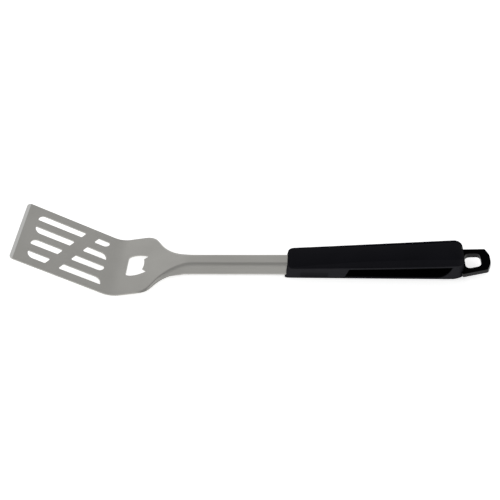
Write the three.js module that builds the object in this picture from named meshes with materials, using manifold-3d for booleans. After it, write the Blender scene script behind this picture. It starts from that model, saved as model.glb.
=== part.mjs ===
// Grill spatula: a slotted stainless-steel turner with a bottle opener in its neck and a two-shell handle.
// Millimetres. +Z is up from the table, +X runs from the blade to the hang loop, and the origin is on the
// table under the middle of the object. The heel of the blade and the underside of the handle rest on z = 0.
import * as THREE from "three";
import { mergeVertices } from "three/addons/utils/BufferGeometryUtils.js";
import Module from "manifold-3d";

const wasm = await Module();
wasm.setup();

// ---- Driving dimensions ----------------------------------------------------------------------------

const DEGREE = Math.PI / 180;
const GAP = 0.3; // clearance between neighbouring pieces
const CUT_DEPTH = 40; // half length of a cutter that goes right through
const BELOW_ALL = -5; // heights that lie clear of the object, for upright cutters
const ABOVE_ALL = 60;

// The sheet, along its top face from the front edge of the blade to the end of the tang
const SHEET = 1.4; // thickness
const BLADE_LENGTH = 104.4; // front edge to the sharp corner of the heel
const BLADE_SLOPE = 32.6 * DEGREE;
const BLADE_HALF_WIDTH = 38;
const FRONT_CORNER = 4; // plan radius of the two front corners
const GRIND_LENGTH = 3.2; // ground bevel along the front edge
const EDGE_THICKNESS = 0.5; // what the grind leaves at the very edge
const HEEL_RADIUS = 22;
const NECK_LENGTH = 75.4; // corner of the heel to the corner where the neck meets the shaft
const NECK_SLOPE = 10.2 * DEGREE;
const NECK_RADIUS = 60;
const SHAFT_SLOPE = 0.27 * DEGREE;
const SHAFT_LENGTH = 102.7; // corner of the neck to the mouth of the handle
const TANG_LENGTH = 92; // from the mouth of the handle to the end of the sheet

// The neck's outline: a shoulder arc, a short straight and a long flare into the shaft
const SHOULDER_START = 131; // distance from the front edge
const SHOULDER_RADIUS = 16;
const FLARE_ANGLE = 53 * DEGREE;
const FLARE_END = 186;
const FLARE_RADIUS = 46.3;
const FLARE_HALF_WIDTH = 5.85; // at the end of the flare

// The channel section of the shaft: flat top, folded sides and a rolled lip
const FOLD_START = 132;
const FOLD_END = 181;
const LIP_START = 160;
const FOLD_RADIUS = 5;
const FLANGE_ANGLE = 60 * DEGREE;
const FLANGE_DROP = 8.5; // depth of the side where the lip begins
const LIP_RADIUS = 1.8;
const LIP_TURN = 112 * DEGREE;
const LIP_LENGTH = 0.6;
const TRIM_START = 7; // past the mouth of the handle, where the sides are trimmed to the tang
const TRIM_END = 16;
const TANG_DROP = 5;

// Blade slots: four rows, each split in two by one diagonal bar
const SLOT_ROWS = [24.95, 8.25, -8.25, -24.95]; // centre lines
const SLOT_WIDTH = 7.9;
const SLOT_START = 15;
const SLOT_END = 92.2;
const BAR_FRONT = 50; // where the diagonal bar's front edge crosses the middle of the blade
const BAR_BACK = 63.7;
const BAR_SKEW = 0.556; // distance along the blade for each millimetre across it
const SLOT_BIG_CORNER = 6.5;
const SLOT_SMALL_CORNER = 1.2;

// Bottle opener in the neck
const OPENER = { start: 115.3, bulge: 122, back: 130, tip: 136.7, tooth: 132.7, bow: 133.8 };
const OPENER_HALF = { start: 12, bulge: 14.9, back: 14, tipOuter: 11, tipInner: 9.6, tooth: 6.7 };
const OPENER_CORNER = 2;
const OPENER_SPREAD = 0.8; // how far a side leans out at the corner of the straight edge
const OPENER_TIP_ROUND = 0.7;

// Handle, measured from its mouth
const HANDLE_MOUTH = 33.5; // x of the front top edge
const HANDLE_LENGTH = 171.4;
const SHAFT_TOP = 14.26; // height of the shaft's top face at the mouth
const FRONT_PLAN_RADIUS = 5.5;
const BACK_PLAN_RADIUS = 8;
const END_EDGE_RADIUS = 1.2;
const BACK_EDGE_RADIUS = 3.5;
const PARTING_HALF = { mouth: 14.05, end: 17.65, bow: 0.45 }; // half width where the two shells meet
const PARTING_RISE = { mouth: 1.4, end: 10.2, bow: -0.47 }; // its height over the shaft's top face
const BEVEL_RUN = { mouth: 0.6, end: 5.7, bow: 2.9 }; // from the widest edge in to the top face
const UNDERSIDE_HALF = { mouth: 13.1, end: 13.65, bow: 0 };
const CROWN = 0.5; // how far the middle of the top face stands over its edges
const LIP_FORWARD = 3.2; // how far the lower edge of the mouth reaches forward
const LIP_FADE = 12;
const MOUTH_DISH = 1; // how far the middle of the mouth's rim lies behind its sides
const TAIL_RISE = 2.6; // how far the underside rises to meet the hang loop
const TAIL_LENGTH = 9;
const UNDER_ROUND = 0.12; // share of the ends' rounding that the underside takes
const SHELL_WALL = 2.4;
const BEVEL_RATIO = 0.45; // drop of the top bevel for each millimetre of its run
const OPEN_TOP_REACH = 3; // how far a section with an open top runs up past the parting line
const EDGE_ROUND = { top: 1.2, side: 1.2, bottom: 1.6 };
const SOFT_BEVEL = 3; // a bevel narrower than this has smaller rounds
const INSET_SHARE = { side: 1.05, under: 0.9, parting: 0.25 }; // what an inset moves each corner by
const LEAST = { sideHeight: 1, bevelDrop: 0.05, topHalf: 1 }; // keeps the end sections open

// Side windows in the lower shell
const WINDOW = { start: 56.5, startTop: 60.8, end: 160, endRun: 13, rim: 2.6, sill: 3 };
const WINDOW_SWEEP = { back: 3, up: 1 }; // where the curve of its rear end is pulled to
const PANEL_RECESS = 1;

// A shallow blank recess on the near side of the lower shell, where a name plate would sit
const PLATE = { start: 12.8, end: 40.2, low: 3.6, high: 9.8, corner: 0.8, depth: 0.3 };

// Hang loop
const LOOP_SLOPE = 9.3 * DEGREE;
const LOOP_THICKNESS = 5.5;
const LOOP_TOP = -2.6; // height of its top face over the shaft's, where the handle ends
const LOOP = {
  shoulder: { place: 169.6, half: 16.8, corner: 2 },
  side: { place: 194.9, half: 13.6, corner: 2.2 },
  tip: { place: 198.4, half: 5, corner: 12 },
};
const LOOP_EDGE_ROUND = 1.5; // below every corner radius of the loop
const LOOP_NECK = { start: 155, end: 174, half: 6, corner: 1 };
const LOOP_HOLE = { start: 174.3, end: 189.4, half: 10, tipHalf: 8.2, corner: 4.4 };

// Fasteners, measured from the mouth
const RIVET_PLACES = { tang_rivet_front: 22, tang_rivet_rear: 72 };
const RIVET = { shank: 2, head: 3.6, headHeight: 1.1 };
const SCREW_PLACES = { shell_screw_front: 48, shell_screw_middle: 112, shell_screw_rear: 150 };
const SCREW = { shank: 1.7, head: 3.3, headHeight: 1.8, wellDepth: 3.2 };
const CROSS_RECESS = { length: 3.8, width: 0.9, depth: 0.7 };
const LOWER_BOSS = { radius: 5.6, height: 6 };
const UPPER_BOSS_RADIUS = 4;
const UPPER_BOSS_DEPTH = 8; // how far an upper boss may reach below the parting line
const BOSS_ROOF = 1; // from the handle's top face down to the end of an upper boss
const PILOT_ROOF = 2; // and to the end of the hole in it
const SCREW_TIP_ROOF = 2.6; // and to the tip of the screw

// ---- Materials -------------------------------------------------------------------------------------

const steel = new THREE.MeshStandardMaterial({ color: 0x93918d, roughness: 0.35, metalness: 1 });
const hardBlack = new THREE.MeshStandardMaterial({ color: 0x060607, roughness: 0.25, metalness: 0 });
const gripBlack = new THREE.MeshStandardMaterial({ color: 0x1d1d20, roughness: 0.6, metalness: 0 });
const zincSteel = new THREE.MeshStandardMaterial({ color: 0xa6a8ab, roughness: 0.4, metalness: 1 });

// ---- Solids ----------------------------------------------------------------------------------------

// A closed geometry as a manifold solid. Faces that collapse when their corners merge are dropped.
function solid(geometry) {
  const bare = new THREE.BufferGeometry();
  const source = geometry.index ? geometry.toNonIndexed() : geometry;
  bare.setAttribute("position", source.getAttribute("position"));
  const merged = mergeVertices(bare, 1e-3);
  const kept = [];
  for (let i = 0; i < merged.index.count; i += 3) {
    const [a, b, c] = [0, 1, 2].map((k) => merged.index.getX(i + k));
    if (a !== b && b !== c && c !== a) kept.push(a, b, c);
  }
  return new wasm.Manifold(
    new wasm.Mesh({
      numProp: 3,
      vertProperties: merged.getAttribute("position").array,
      triVerts: new Uint32Array(kept),
    }),
  );
}

function join(...solids) {
  return solids.reduce((whole, piece) => whole.add(piece));
}

function cut(body, ...tools) {
  return tools.reduce((left, tool) => left.subtract(tool), body);
}

function piece(name, body, material) {
  const made = body.getMesh();
  const geometry = new THREE.BufferGeometry();
  geometry.setAttribute("position", new THREE.BufferAttribute(made.vertProperties, 3));
  geometry.setIndex(new THREE.BufferAttribute(made.triVerts, 1));
  const mesh = new THREE.Mesh(geometry, material);
  mesh.name = name;
  return mesh;
}

// Rings of equally many points, joined into one closed skin with a flat cap at each end.
// Each ring runs counter-clockwise seen from +X, and the rings run towards +X.
function loft(rings) {
  const count = rings[0].length;
  const positions = rings.flat().flatMap((p) => [p.x, p.y, p.z]);
  const faces = [];
  for (let row = 0; row + 1 < rings.length; row++) {
    for (let i = 0; i < count; i++) {
      const a = row * count + i;
      const b = row * count + ((i + 1) % count);
      faces.push(a, b, b + count, a, b + count, a + count);
    }
  }
  const cap = (ring) => {
    const outline = ring.map((p) => new THREE.Vector2(p.y, p.z));
    return THREE.ShapeUtils.triangulateShape(outline, []);
  };
  const last = (rings.length - 1) * count;
  for (const [a, b, c] of cap(rings[0])) faces.push(a, c, b);
  for (const [a, b, c] of cap(rings.at(-1))) faces.push(last + a, last + b, last + c);
  const geometry = new THREE.BufferGeometry();
  geometry.setAttribute("position", new THREE.Float32BufferAttribute(positions, 3));
  geometry.setIndex(faces);
  return solid(geometry);
}

// The points of a closed outline with each corner rounded by its own radius.
function roundedOutline(corners, segments = 4) {
  const outline = [];
  corners.forEach(({ x, y, r = 0 }, i) => {
    const corner = new THREE.Vector2(x, y);
    const before = corners.at(i - 1);
    const after = corners[(i + 1) % corners.length];
    const back = new THREE.Vector2(before.x, before.y).sub(corner).normalize();
    const ahead = new THREE.Vector2(after.x, after.y).sub(corner).normalize();
    const halfAngle = Math.acos(THREE.MathUtils.clamp(back.dot(ahead), -1, 1)) / 2;
    const reach = r / Math.tan(halfAngle);
    const start = corner.clone().addScaledVector(back, reach);
    const end = corner.clone().addScaledVector(ahead, reach);
    const bisector = back.clone().add(ahead).normalize();
    const centre = corner.clone().addScaledVector(bisector, r / Math.sin(halfAngle));
    const from = start.clone().sub(centre).angle();
    let sweep = end.clone().sub(centre).angle() - from;
    if (sweep > Math.PI) sweep -= 2 * Math.PI;
    if (sweep < -Math.PI) sweep += 2 * Math.PI;
    for (let k = 0; k <= segments; k++) {
      const angle = from + (sweep * k) / segments;
      outline.push(new THREE.Vector2(r * Math.cos(angle), r * Math.sin(angle)).add(centre));
    }
  });
  return outline;
}

function roundedShape(corners) {
  return new THREE.Shape(roundedOutline(corners));
}

// A shape drawn in a plane and extruded both ways along that plane's normal.
function slab(shape, matrix, below, above) {
  const geometry = new THREE.ExtrudeGeometry(shape, {
    depth: below + above,
    bevelEnabled: false,
    curveSegments: 6,
  });
  geometry.translate(0, 0, -below);
  return solid(geometry.applyMatrix4(matrix));
}

// An upright cylinder between two heights.
function post(x, radius, low, high, sides = 24) {
  const geometry = new THREE.CylinderGeometry(radius, radius, high - low, sides);
  geometry.rotateX(Math.PI / 2).translate(x, 0, (low + high) / 2);
  return solid(geometry);
}

// ---- The sheet -------------------------------------------------------------------------------------

const HEEL_TANGENT = HEEL_RADIUS * Math.tan((BLADE_SLOPE + NECK_SLOPE) / 2);
const NECK_TANGENT = NECK_RADIUS * Math.tan((NECK_SLOPE - SHAFT_SLOPE) / 2);

// The stretches of the sheet's top line: straight where the radius is 0, bent by the turn elsewhere.
const STRETCHES = [
  { length: BLADE_LENGTH - HEEL_TANGENT, turn: 0, steps: 1 },
  { length: HEEL_RADIUS * (BLADE_SLOPE + NECK_SLOPE), turn: BLADE_SLOPE + NECK_SLOPE, steps: 8 },
  { length: NECK_LENGTH - HEEL_TANGENT - NECK_TANGENT, turn: 0, steps: 1 },
  { length: NECK_RADIUS * (NECK_SLOPE - SHAFT_SLOPE), turn: SHAFT_SLOPE - NECK_SLOPE, steps: 3 },
  { length: SHAFT_LENGTH - NECK_TANGENT + TANG_LENGTH, turn: 0, steps: 1 },
];
const HEEL_START = STRETCHES[0].length;
const HEEL_END = HEEL_START + STRETCHES[1].length;
const SHEET_LENGTH = STRETCHES.reduce((sum, stretch) => sum + stretch.length, 0);

// Top corner of the blade's front edge, found by walking back from the mouth of the handle.
const FRONT_EDGE = {
  x:
    HANDLE_MOUTH -
    SHAFT_LENGTH * Math.cos(SHAFT_SLOPE) -
    NECK_LENGTH * Math.cos(NECK_SLOPE) -
    BLADE_LENGTH * Math.cos(BLADE_SLOPE),
  z:
    SHAFT_TOP -
    SHAFT_LENGTH * Math.sin(SHAFT_SLOPE) -
    NECK_LENGTH * Math.sin(NECK_SLOPE) +
    BLADE_LENGTH * Math.sin(BLADE_SLOPE),
};

// Where the sheet's top line is at a distance from the front edge, and which way it runs.
function sheetLine(distance) {
  let left = distance;
  let { x, z } = FRONT_EDGE;
  let angle = -BLADE_SLOPE;
  for (const { length, turn } of STRETCHES) {
    const run = Math.min(left, length);
    const turned = (turn * run) / length;
    const chord = turned === 0 ? run : (2 * Math.sin(turned / 2) * length) / turn;
    x += chord * Math.cos(angle + turned / 2);
    z += chord * Math.sin(angle + turned / 2);
    angle += turned;
    left -= run;
    if (left <= 0) break;
  }
  return { x, z, angle };
}

// The plane of the sheet at a distance from the front edge, with its zero back at the front edge.
function sheetPlane(distance) {
  const { x, z, angle } = sheetLine(distance);
  const along = new THREE.Vector3(Math.cos(angle), 0, Math.sin(angle));
  const across = new THREE.Vector3(0, 1, 0);
  const normal = new THREE.Vector3(-Math.sin(angle), 0, Math.cos(angle));
  const zero = new THREE.Vector3(x, 0, z).addScaledVector(along, -distance);
  return new THREE.Matrix4().makeBasis(along, across, normal).setPosition(zero);
}

const SHOULDER_END = SHOULDER_START + SHOULDER_RADIUS * Math.sin(FLARE_ANGLE);
const FLARE_START = FLARE_END - FLARE_RADIUS * Math.sin(FLARE_ANGLE);

// Half the width of the sheet's flat outline.
function outlineHalfWidth(distance) {
  if (distance < FRONT_CORNER) {
    const along = FRONT_CORNER - distance;
    return BLADE_HALF_WIDTH - FRONT_CORNER + Math.sqrt(FRONT_CORNER ** 2 - along ** 2);
  }
  if (distance < SHOULDER_START) return BLADE_HALF_WIDTH;
  if (distance < SHOULDER_END) {
    const along = distance - SHOULDER_START;
    return BLADE_HALF_WIDTH - SHOULDER_RADIUS + Math.sqrt(SHOULDER_RADIUS ** 2 - along ** 2);
  }
  if (distance > FLARE_END) return FLARE_HALF_WIDTH;
  const along = FLARE_END - Math.max(distance, FLARE_START);
  const flare = FLARE_HALF_WIDTH + FLARE_RADIUS - Math.sqrt(FLARE_RADIUS ** 2 - along ** 2);
  if (distance > FLARE_START) return flare;
  const shoulder = BLADE_HALF_WIDTH - SHOULDER_RADIUS * (1 - Math.cos(FLARE_ANGLE));
  const share = (distance - SHOULDER_END) / (FLARE_START - SHOULDER_END);
  return THREE.MathUtils.lerp(shoulder, flare, share);
}

// The half section of the sheet at a distance, from the middle outwards: points of the top face, each
// with the direction that the sheet runs in there. The folded side grows along the flare, and the flat
// stops short of the outline by what the fold reaches beyond it.
function halfSection(distance, segments = 4) {
  const mouth = SHEET_LENGTH - TANG_LENGTH;
  const trimmed = THREE.MathUtils.smoothstep(distance, mouth + TRIM_START, mouth + TRIM_END);
  const folded = THREE.MathUtils.clamp((distance - FOLD_START) / (FOLD_END - FOLD_START), 0, 1);
  const lipped = THREE.MathUtils.smoothstep(distance, LIP_START, FOLD_END) * (1 - trimmed);
  const drop = THREE.MathUtils.lerp(FLANGE_DROP, TANG_DROP, trimmed) * folded;
  const foldDrop = FOLD_RADIUS * (1 - Math.cos(FLANGE_ANGLE));
  const foldTurn = drop < foldDrop ? Math.acos(1 - drop / FOLD_RADIUS) : FLANGE_ANGLE;
  const flange = Math.max(0, drop - foldDrop) / Math.sin(FLANGE_ANGLE);
  const shown = Math.min(foldTurn, Math.PI / 4);
  const foldReach = FOLD_RADIUS * (Math.sin(shown) + Math.cos(shown) - 1);
  const moves = [
    { length: outlineHalfWidth(distance) - foldReach, turn: 0 },
    ...Array(segments).fill({ radius: FOLD_RADIUS, turn: foldTurn / segments }),
    { length: flange, turn: 0 },
    ...Array(segments).fill({ radius: LIP_RADIUS, turn: (LIP_TURN * lipped) / segments }),
    { length: LIP_LENGTH * lipped, turn: 0 },
  ];
  let [y, z, heading] = [0, 0, 0];
  const points = [];
  for (const { length, radius, turn } of moves) {
    const chord = turn === 0 ? (length ?? 0) : 2 * radius * Math.sin(turn / 2);
    y += chord * Math.cos(heading + turn / 2);
    z -= chord * Math.sin(heading + turn / 2);
    heading += turn;
    points.push({ y, z, heading });
  }
  return points;
}

// One closed ring of the sheet: the top face from -Y to +Y, then back along the underside.
function sheetRing(distance) {
  const { x, z, angle } = sheetLine(distance);
  const ground = THREE.MathUtils.clamp(distance / GRIND_LENGTH, 0, 1);
  const groundOff = (SHEET - EDGE_THICKNESS) * (1 - ground);
  const half = halfSection(distance);
  const top = half.map((p) => ({ y: p.y, n: p.z - groundOff }));
  const under = half.map((p) => ({
    y: p.y - SHEET * Math.sin(p.heading),
    n: p.z - SHEET * Math.cos(p.heading),
  }));
  const mirrored = (row) => row.map((p) => ({ y: -p.y, n: p.n }));
  const loop = [...mirrored(under).reverse(), ...under, ...top.toReversed(), ...mirrored(top)];
  return loop.map((p) => ({
    x: x - p.n * Math.sin(angle),
    y: p.y,
    z: z + p.n * Math.cos(angle),
  }));
}

// Distances at which the sheet changes, so that rings stand only where the shape needs them.
function sheetStations() {
  const stations = new Set([GRIND_LENGTH, SHEET_LENGTH]);
  const spread = (from, to, steps) => {
    for (let k = 0; k <= steps; k++) stations.add(from + ((to - from) * k) / steps);
  };
  for (let k = 0; k <= 4; k++) stations.add(FRONT_CORNER * (1 - Math.cos((k * Math.PI) / 8)));
  let start = 0;
  for (const { length, steps } of STRETCHES) {
    spread(start, start + length, steps);
    start += length;
  }
  spread(SHOULDER_START, SHOULDER_END, 5);
  spread(SHOULDER_END, FLARE_START, 2);
  spread(FLARE_START, FLARE_END, 14);
  const mouth = SHEET_LENGTH - TANG_LENGTH;
  spread(mouth + TRIM_START, mouth + TRIM_END, 4);
  return [...stations].sort((a, b) => a - b).filter((s, i, all) => i === 0 || s - all[i - 1] > 0.05);
}

// One slot of a row. The end away from the bar has a large corner on one side and a point on the other.
function slotShape(row, isFront, bigCornerUp) {
  const low = row - SLOT_WIDTH / 2;
  const high = row + SLOT_WIDTH / 2;
  const bar = isFront ? BAR_FRONT : BAR_BACK;
  const end = isFront ? SLOT_START : SLOT_END;
  const small = SLOT_SMALL_CORNER;
  const big = SLOT_BIG_CORNER;
  return roundedShape([
    { x: end, y: low, r: bigCornerUp ? small : big },
    { x: bar + BAR_SKEW * low, y: low, r: small },
    { x: bar + BAR_SKEW * high, y: high, r: small },
    { x: end, y: high, r: bigCornerUp ? big : small },
  ]);
}

// The cap-lifting hole: straight towards the blade, bulging sides, and two tips beside the tooth edge.
function openerShape() {
  const { start, bulge, back, tip, tooth, bow } = OPENER;
  const half = OPENER_HALF;
  const round = OPENER_TIP_ROUND;
  const side = new THREE.Path();
  side.moveTo(start, half.start - OPENER_CORNER);
  side.quadraticCurveTo(start, half.start, start + OPENER_CORNER, half.start + OPENER_SPREAD);
  side.bezierCurveTo(bulge, half.bulge, back, half.back, tip - round / 2, half.tipOuter);
  side.quadraticCurveTo(tip + round, half.tipOuter - round, tip, half.tipInner);
  side.lineTo(tooth, half.tooth);
  side.quadraticCurveTo(bow, half.tooth / 2, bow, 0);
  const points = side.getPoints(6);
  const otherSide = points.slice(0, -1).map(({ x, y }) => new THREE.Vector2(x, -y));
  return new THREE.Shape([...points, ...otherSide.reverse()]);
}

function turnerSheet() {
  let sheet = loft(sheetStations().map(sheetRing));
  const reach = 3 * SHEET; // how far a cutter stands out of the sheet on each side
  SLOT_ROWS.forEach((row, i) => {
    for (const isFront of [true, false]) {
      const bigCornerUp = isFront === (i % 2 === 0);
      const tool = slab(slotShape(row, isFront, bigCornerUp), sheetPlane(0), reach, reach);
      sheet = sheet.subtract(tool);
    }
  });
  sheet = sheet.subtract(slab(openerShape(), sheetPlane(HEEL_END), reach, reach));
  const web = (place, radius) => post(HANDLE_MOUTH + place, radius, SHAFT_TOP - reach, SHAFT_TOP + reach);
  const rivetHoles = Object.values(RIVET_PLACES).map((place) => web(place, RIVET.shank + GAP));
  return cut(sheet, ...rivetHoles, web(SCREW_PLACES.shell_screw_front, SCREW.shank + GAP));
}

// ---- The handle ------------------------------------------------------------------------------------

// A measure of the handle's section at a place: straight from the mouth to the end, plus a bow between.
function along({ mouth, end, bow }, place) {
  const share = place / HANDLE_LENGTH;
  return mouth + (end - mouth) * share + 4 * bow * share * (1 - share);
}

// Height of the handle's widest edge, where the two shells meet.
function partingHeight(place) {
  return SHAFT_TOP + along(PARTING_RISE, place);
}

// Height of the handle's top face.
function topHeight(place) {
  return partingHeight(place) + BEVEL_RATIO * along(BEVEL_RUN, place);
}

// Points of the slightly arched top face between its two edges.
function crownArc(half, height, steps = 6) {
  const points = [];
  for (let k = 1; k < steps; k++) {
    const share = 1 - (2 * k) / steps;
    points.push(new THREE.Vector2(half * share, height + CROWN * (1 - share ** 2)));
  }
  return points;
}

// One ring of the handle body, inset from its outer surface, with its ends drawn in to round them.
// A ring with an open top runs straight up past the parting line.
function handleRing(place, { inset, openTop }, drawIn, dropIn) {
  const at = THREE.MathUtils.clamp(place, 0, HANDLE_LENGTH);
  const height = partingHeight(at);
  const bevel = along(BEVEL_RUN, at);
  const tail = THREE.MathUtils.clamp((at - HANDLE_LENGTH + TAIL_LENGTH) / TAIL_LENGTH, 0, 1);
  const side = along(PARTING_HALF, at) - inset * INSET_SHARE.side - drawIn;
  const under = along(UNDERSIDE_HALF, at) - inset * INSET_SHARE.under - drawIn * UNDER_ROUND;
  const low = inset + TAIL_RISE * tail + dropIn * UNDER_ROUND;
  const middle = Math.max(height - inset * INSET_SHARE.parting, low + LEAST.sideHeight);
  const high = Math.max(topHeight(at) - inset - dropIn, middle + LEAST.bevelDrop);
  const top = Math.max(side - bevel + inset * INSET_SHARE.parting, LEAST.topHalf);
  const sharpen = Math.min(1, (side - top) / SOFT_BEVEL);
  const half = openTop
    ? [
        { x: under, y: low, r: EDGE_ROUND.bottom },
        { x: side, y: height + OPEN_TOP_REACH, r: EDGE_ROUND.side },
      ]
    : [
        { x: under, y: low, r: EDGE_ROUND.bottom },
        { x: side, y: middle, r: EDGE_ROUND.side * sharpen },
        { x: top, y: high, r: EDGE_ROUND.top * sharpen },
      ];
  const mirrored = half.toReversed().map(({ x, y, r }) => ({ x: -x, y, r }));
  const segments = 2;
  const outline = roundedOutline([...half, ...mirrored], segments);
  if (!openTop) outline.splice(half.length * (segments + 1), 0, ...crownArc(top, high));
  const fade = THREE.MathUtils.clamp(1 - place / LIP_FADE, 0, 1);
  return outline.map((p) => {
    const depth = THREE.MathUtils.clamp((height - p.y) / height, 0, 1);
    const dish = MOUTH_DISH * THREE.MathUtils.clamp(1 - (p.x / side) ** 2, 0, 1);
    const shift = (LIP_FORWARD * depth ** 2 - dish) * fade;
    return { x: HANDLE_MOUTH + place - shift, y: p.x, z: p.y };
  });
}

// The whole handle body as one block, inset by a wall thickness where its inside is wanted.
function handleBody(inset, openTop = false) {
  const form = { inset, openTop };
  const start = inset;
  const end = HANDLE_LENGTH - inset;
  const frontRadius = Math.max(FRONT_PLAN_RADIUS - inset, 0.5);
  const backRadius = Math.max(BACK_PLAN_RADIUS - inset, 1);
  const rings = [];
  const frontSteps = 4;
  for (let k = 0; k <= frontSteps; k++) {
    const angle = (k / frontSteps) * (Math.PI / 2);
    const shy = 1 - Math.sin(angle);
    const place = start + frontRadius * (1 - Math.cos(angle));
    rings.push(handleRing(place, form, frontRadius * shy, END_EDGE_RADIUS * shy));
  }
  const middleSteps = 8;
  for (let k = 1; k < middleSteps; k++) {
    const from = start + frontRadius;
    const to = end - backRadius;
    rings.push(handleRing(from + ((to - from) * k) / middleSteps, form, 0, 0));
  }
  const backSteps = 6;
  for (let k = 0; k <= backSteps; k++) {
    const angle = (k / backSteps) * (Math.PI / 2);
    const shy = 1 - Math.cos(angle);
    const place = end - backRadius * (1 - Math.sin(angle));
    rings.push(handleRing(place, form, backRadius * shy, BACK_EDGE_RADIUS * shy));
  }
  return loft(rings);
}

// Everything above the parting line (side = 1) or below it (side = -1), kept a distance away from it.
function halfSpace(side, clearance) {
  const steps = 12;
  const line = [];
  for (let k = 0; k <= steps; k++) {
    const place = -CUT_DEPTH + ((HANDLE_LENGTH + 2 * CUT_DEPTH) * k) / steps;
    line.push(new THREE.Vector2(HANDLE_MOUTH + place, partingHeight(place) + side * clearance));
  }
  const far = side > 0 ? ABOVE_ALL : BELOW_ALL;
  line.push(new THREE.Vector2(line.at(-1).x, far), new THREE.Vector2(line[0].x, far));
  return slab(new THREE.Shape(line), uprightPlane(), CUT_DEPTH, CUT_DEPTH);
}

// The X-Z plane: a shape drawn in it is extruded along Y.
function uprightPlane() {
  const x = new THREE.Vector3(1, 0, 0);
  const z = new THREE.Vector3(0, 0, 1);
  return new THREE.Matrix4().makeBasis(x, z, new THREE.Vector3(0, -1, 0));
}

// The solid outline of the channel with a clearance all round, as the mouth of the handle needs it.
function channelPlug(clearance, from, to) {
  const half = halfSection(SHEET_LENGTH - TANG_LENGTH);
  const grown = half.map((p) => ({
    y: p.y + clearance * Math.sin(p.heading),
    z: p.z + clearance * Math.cos(p.heading),
  }));
  const ring = [...grown.toReversed(), ...grown.map((p) => ({ y: -p.y, z: p.z }))];
  return channelRun(ring, from, to);
}

// The channel's own material with a clearance on both faces: the slot that the tang sits in.
function channelSlot(clearance, from, to) {
  const half = halfSection(SHEET_LENGTH - TANG_LENGTH + to);
  const offset = (away) =>
    half.map((p) => ({
      y: p.y + away * Math.sin(p.heading),
      z: p.z + away * Math.cos(p.heading),
    }));
  const outer = offset(clearance);
  const inner = offset(-SHEET - clearance);
  const lipEnd = (row) => {
    const { heading } = half.at(-1);
    const { y, z } = row.at(-1);
    row.push({ y: y + clearance * Math.cos(heading), z: z - clearance * Math.sin(heading) });
  };
  lipEnd(outer);
  lipEnd(inner);
  const mirrored = (row) => row.map((p) => ({ y: -p.y, z: p.z }));
  const ring = [...mirrored(inner).reverse(), ...inner, ...outer.toReversed(), ...mirrored(outer)];
  return channelRun(ring, from, to);
}

// A section of the channel's frame swept along the shaft between two places.
function channelRun(ring, from, to) {
  const slope = Math.tan(SHAFT_SLOPE);
  const at = (place) =>
    ring.map((p) => ({
      x: HANDLE_MOUTH + place,
      y: p.y,
      z: SHAFT_TOP + slope * place + p.z,
    }));
  return loft([at(from), at(to)]);
}

// The window opening seen from the side: slanted at the front and swept up at the back.
function windowShape(margin) {
  const { start, startTop, end, endRun, rim, sill } = WINDOW;
  const high = (place) => partingHeight(place) - rim - margin;
  const low = sill + margin;
  const shape = new THREE.Shape();
  const x = (place) => HANDLE_MOUTH + place;
  shape.moveTo(x(start + margin), low);
  shape.lineTo(x(end - endRun), low);
  shape.quadraticCurveTo(
    x(end - WINDOW_SWEEP.back - margin),
    low + WINDOW_SWEEP.up,
    x(end - margin),
    high(end),
  );
  const steps = 6;
  for (let k = 1; k <= steps; k++) {
    const place = THREE.MathUtils.lerp(end - margin, startTop + margin, k / steps);
    shape.lineTo(x(place), high(place));
  }
  return shape;
}

function windowTool(margin) {
  return slab(windowShape(margin), uprightPlane(), CUT_DEPTH, CUT_DEPTH);
}

// The loop's plate and its hole are drawn in a plane that tilts up towards the tip.
function loopPlane() {
  const along = new THREE.Vector3(Math.cos(LOOP_SLOPE), 0, Math.sin(LOOP_SLOPE));
  const across = new THREE.Vector3(0, 1, 0);
  const normal = new THREE.Vector3(-Math.sin(LOOP_SLOPE), 0, Math.cos(LOOP_SLOPE));
  const root = new THREE.Vector3(HANDLE_MOUTH + HANDLE_LENGTH, 0, SHAFT_TOP + LOOP_TOP);
  return new THREE.Matrix4().makeBasis(along, across, normal).setPosition(root);
}

// The loop's outline: square shoulders against the handle, tapered sides and a bowed tip.
function loopPlateShape() {
  const { shoulder, side, tip } = LOOP;
  const half = [shoulder, side, tip].map(({ place, half: y, corner }) => ({
    x: place - HANDLE_LENGTH,
    y,
    r: corner,
  }));
  const mirrored = half.map(({ x, y, r }) => ({ x, y: -y, r }));
  return roundedShape([...mirrored, ...half.toReversed()]);
}

function loopHoleShape() {
  const { start, end, half, tipHalf, corner } = LOOP_HOLE;
  const front = start - HANDLE_LENGTH;
  const back = end - HANDLE_LENGTH;
  return roundedShape([
    { x: front, y: -half, r: corner },
    { x: back, y: -tipHalf, r: corner },
    { x: back, y: tipHalf, r: corner },
    { x: front, y: half, r: corner },
  ]);
}

// The loop's plate, with its lower edges rounded and its top edges left crisp.
function loopPlate() {
  const softened = new THREE.ExtrudeGeometry(loopPlateShape(), {
    depth: LOOP_THICKNESS,
    bevelThickness: LOOP_EDGE_ROUND,
    bevelSize: LOOP_EDGE_ROUND,
    bevelOffset: -LOOP_EDGE_ROUND,
    bevelSegments: 3,
    curveSegments: 6,
  });
  softened.translate(0, 0, LOOP_EDGE_ROUND - LOOP_THICKNESS);
  const plate = solid(softened.applyMatrix4(loopPlane()));
  return plate.intersect(slab(loopPlateShape(), loopPlane(), LOOP_THICKNESS, 0));
}

// The tongue that ties the loop to the core through the back wall of the lower shell.
function loopNeck(margin) {
  const half = LOOP_NECK.half + margin;
  const front = LOOP_NECK.start - HANDLE_LENGTH;
  const back = LOOP_NECK.end - HANDLE_LENGTH;
  const r = LOOP_NECK.corner;
  const shape = roundedShape([
    { x: front, y: -half, r },
    { x: back, y: -half, r },
    { x: back, y: half, r },
    { x: front, y: half, r },
  ]);
  return slab(shape, loopPlane(), LOOP_THICKNESS - GAP + margin, margin - GAP);
}

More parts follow.
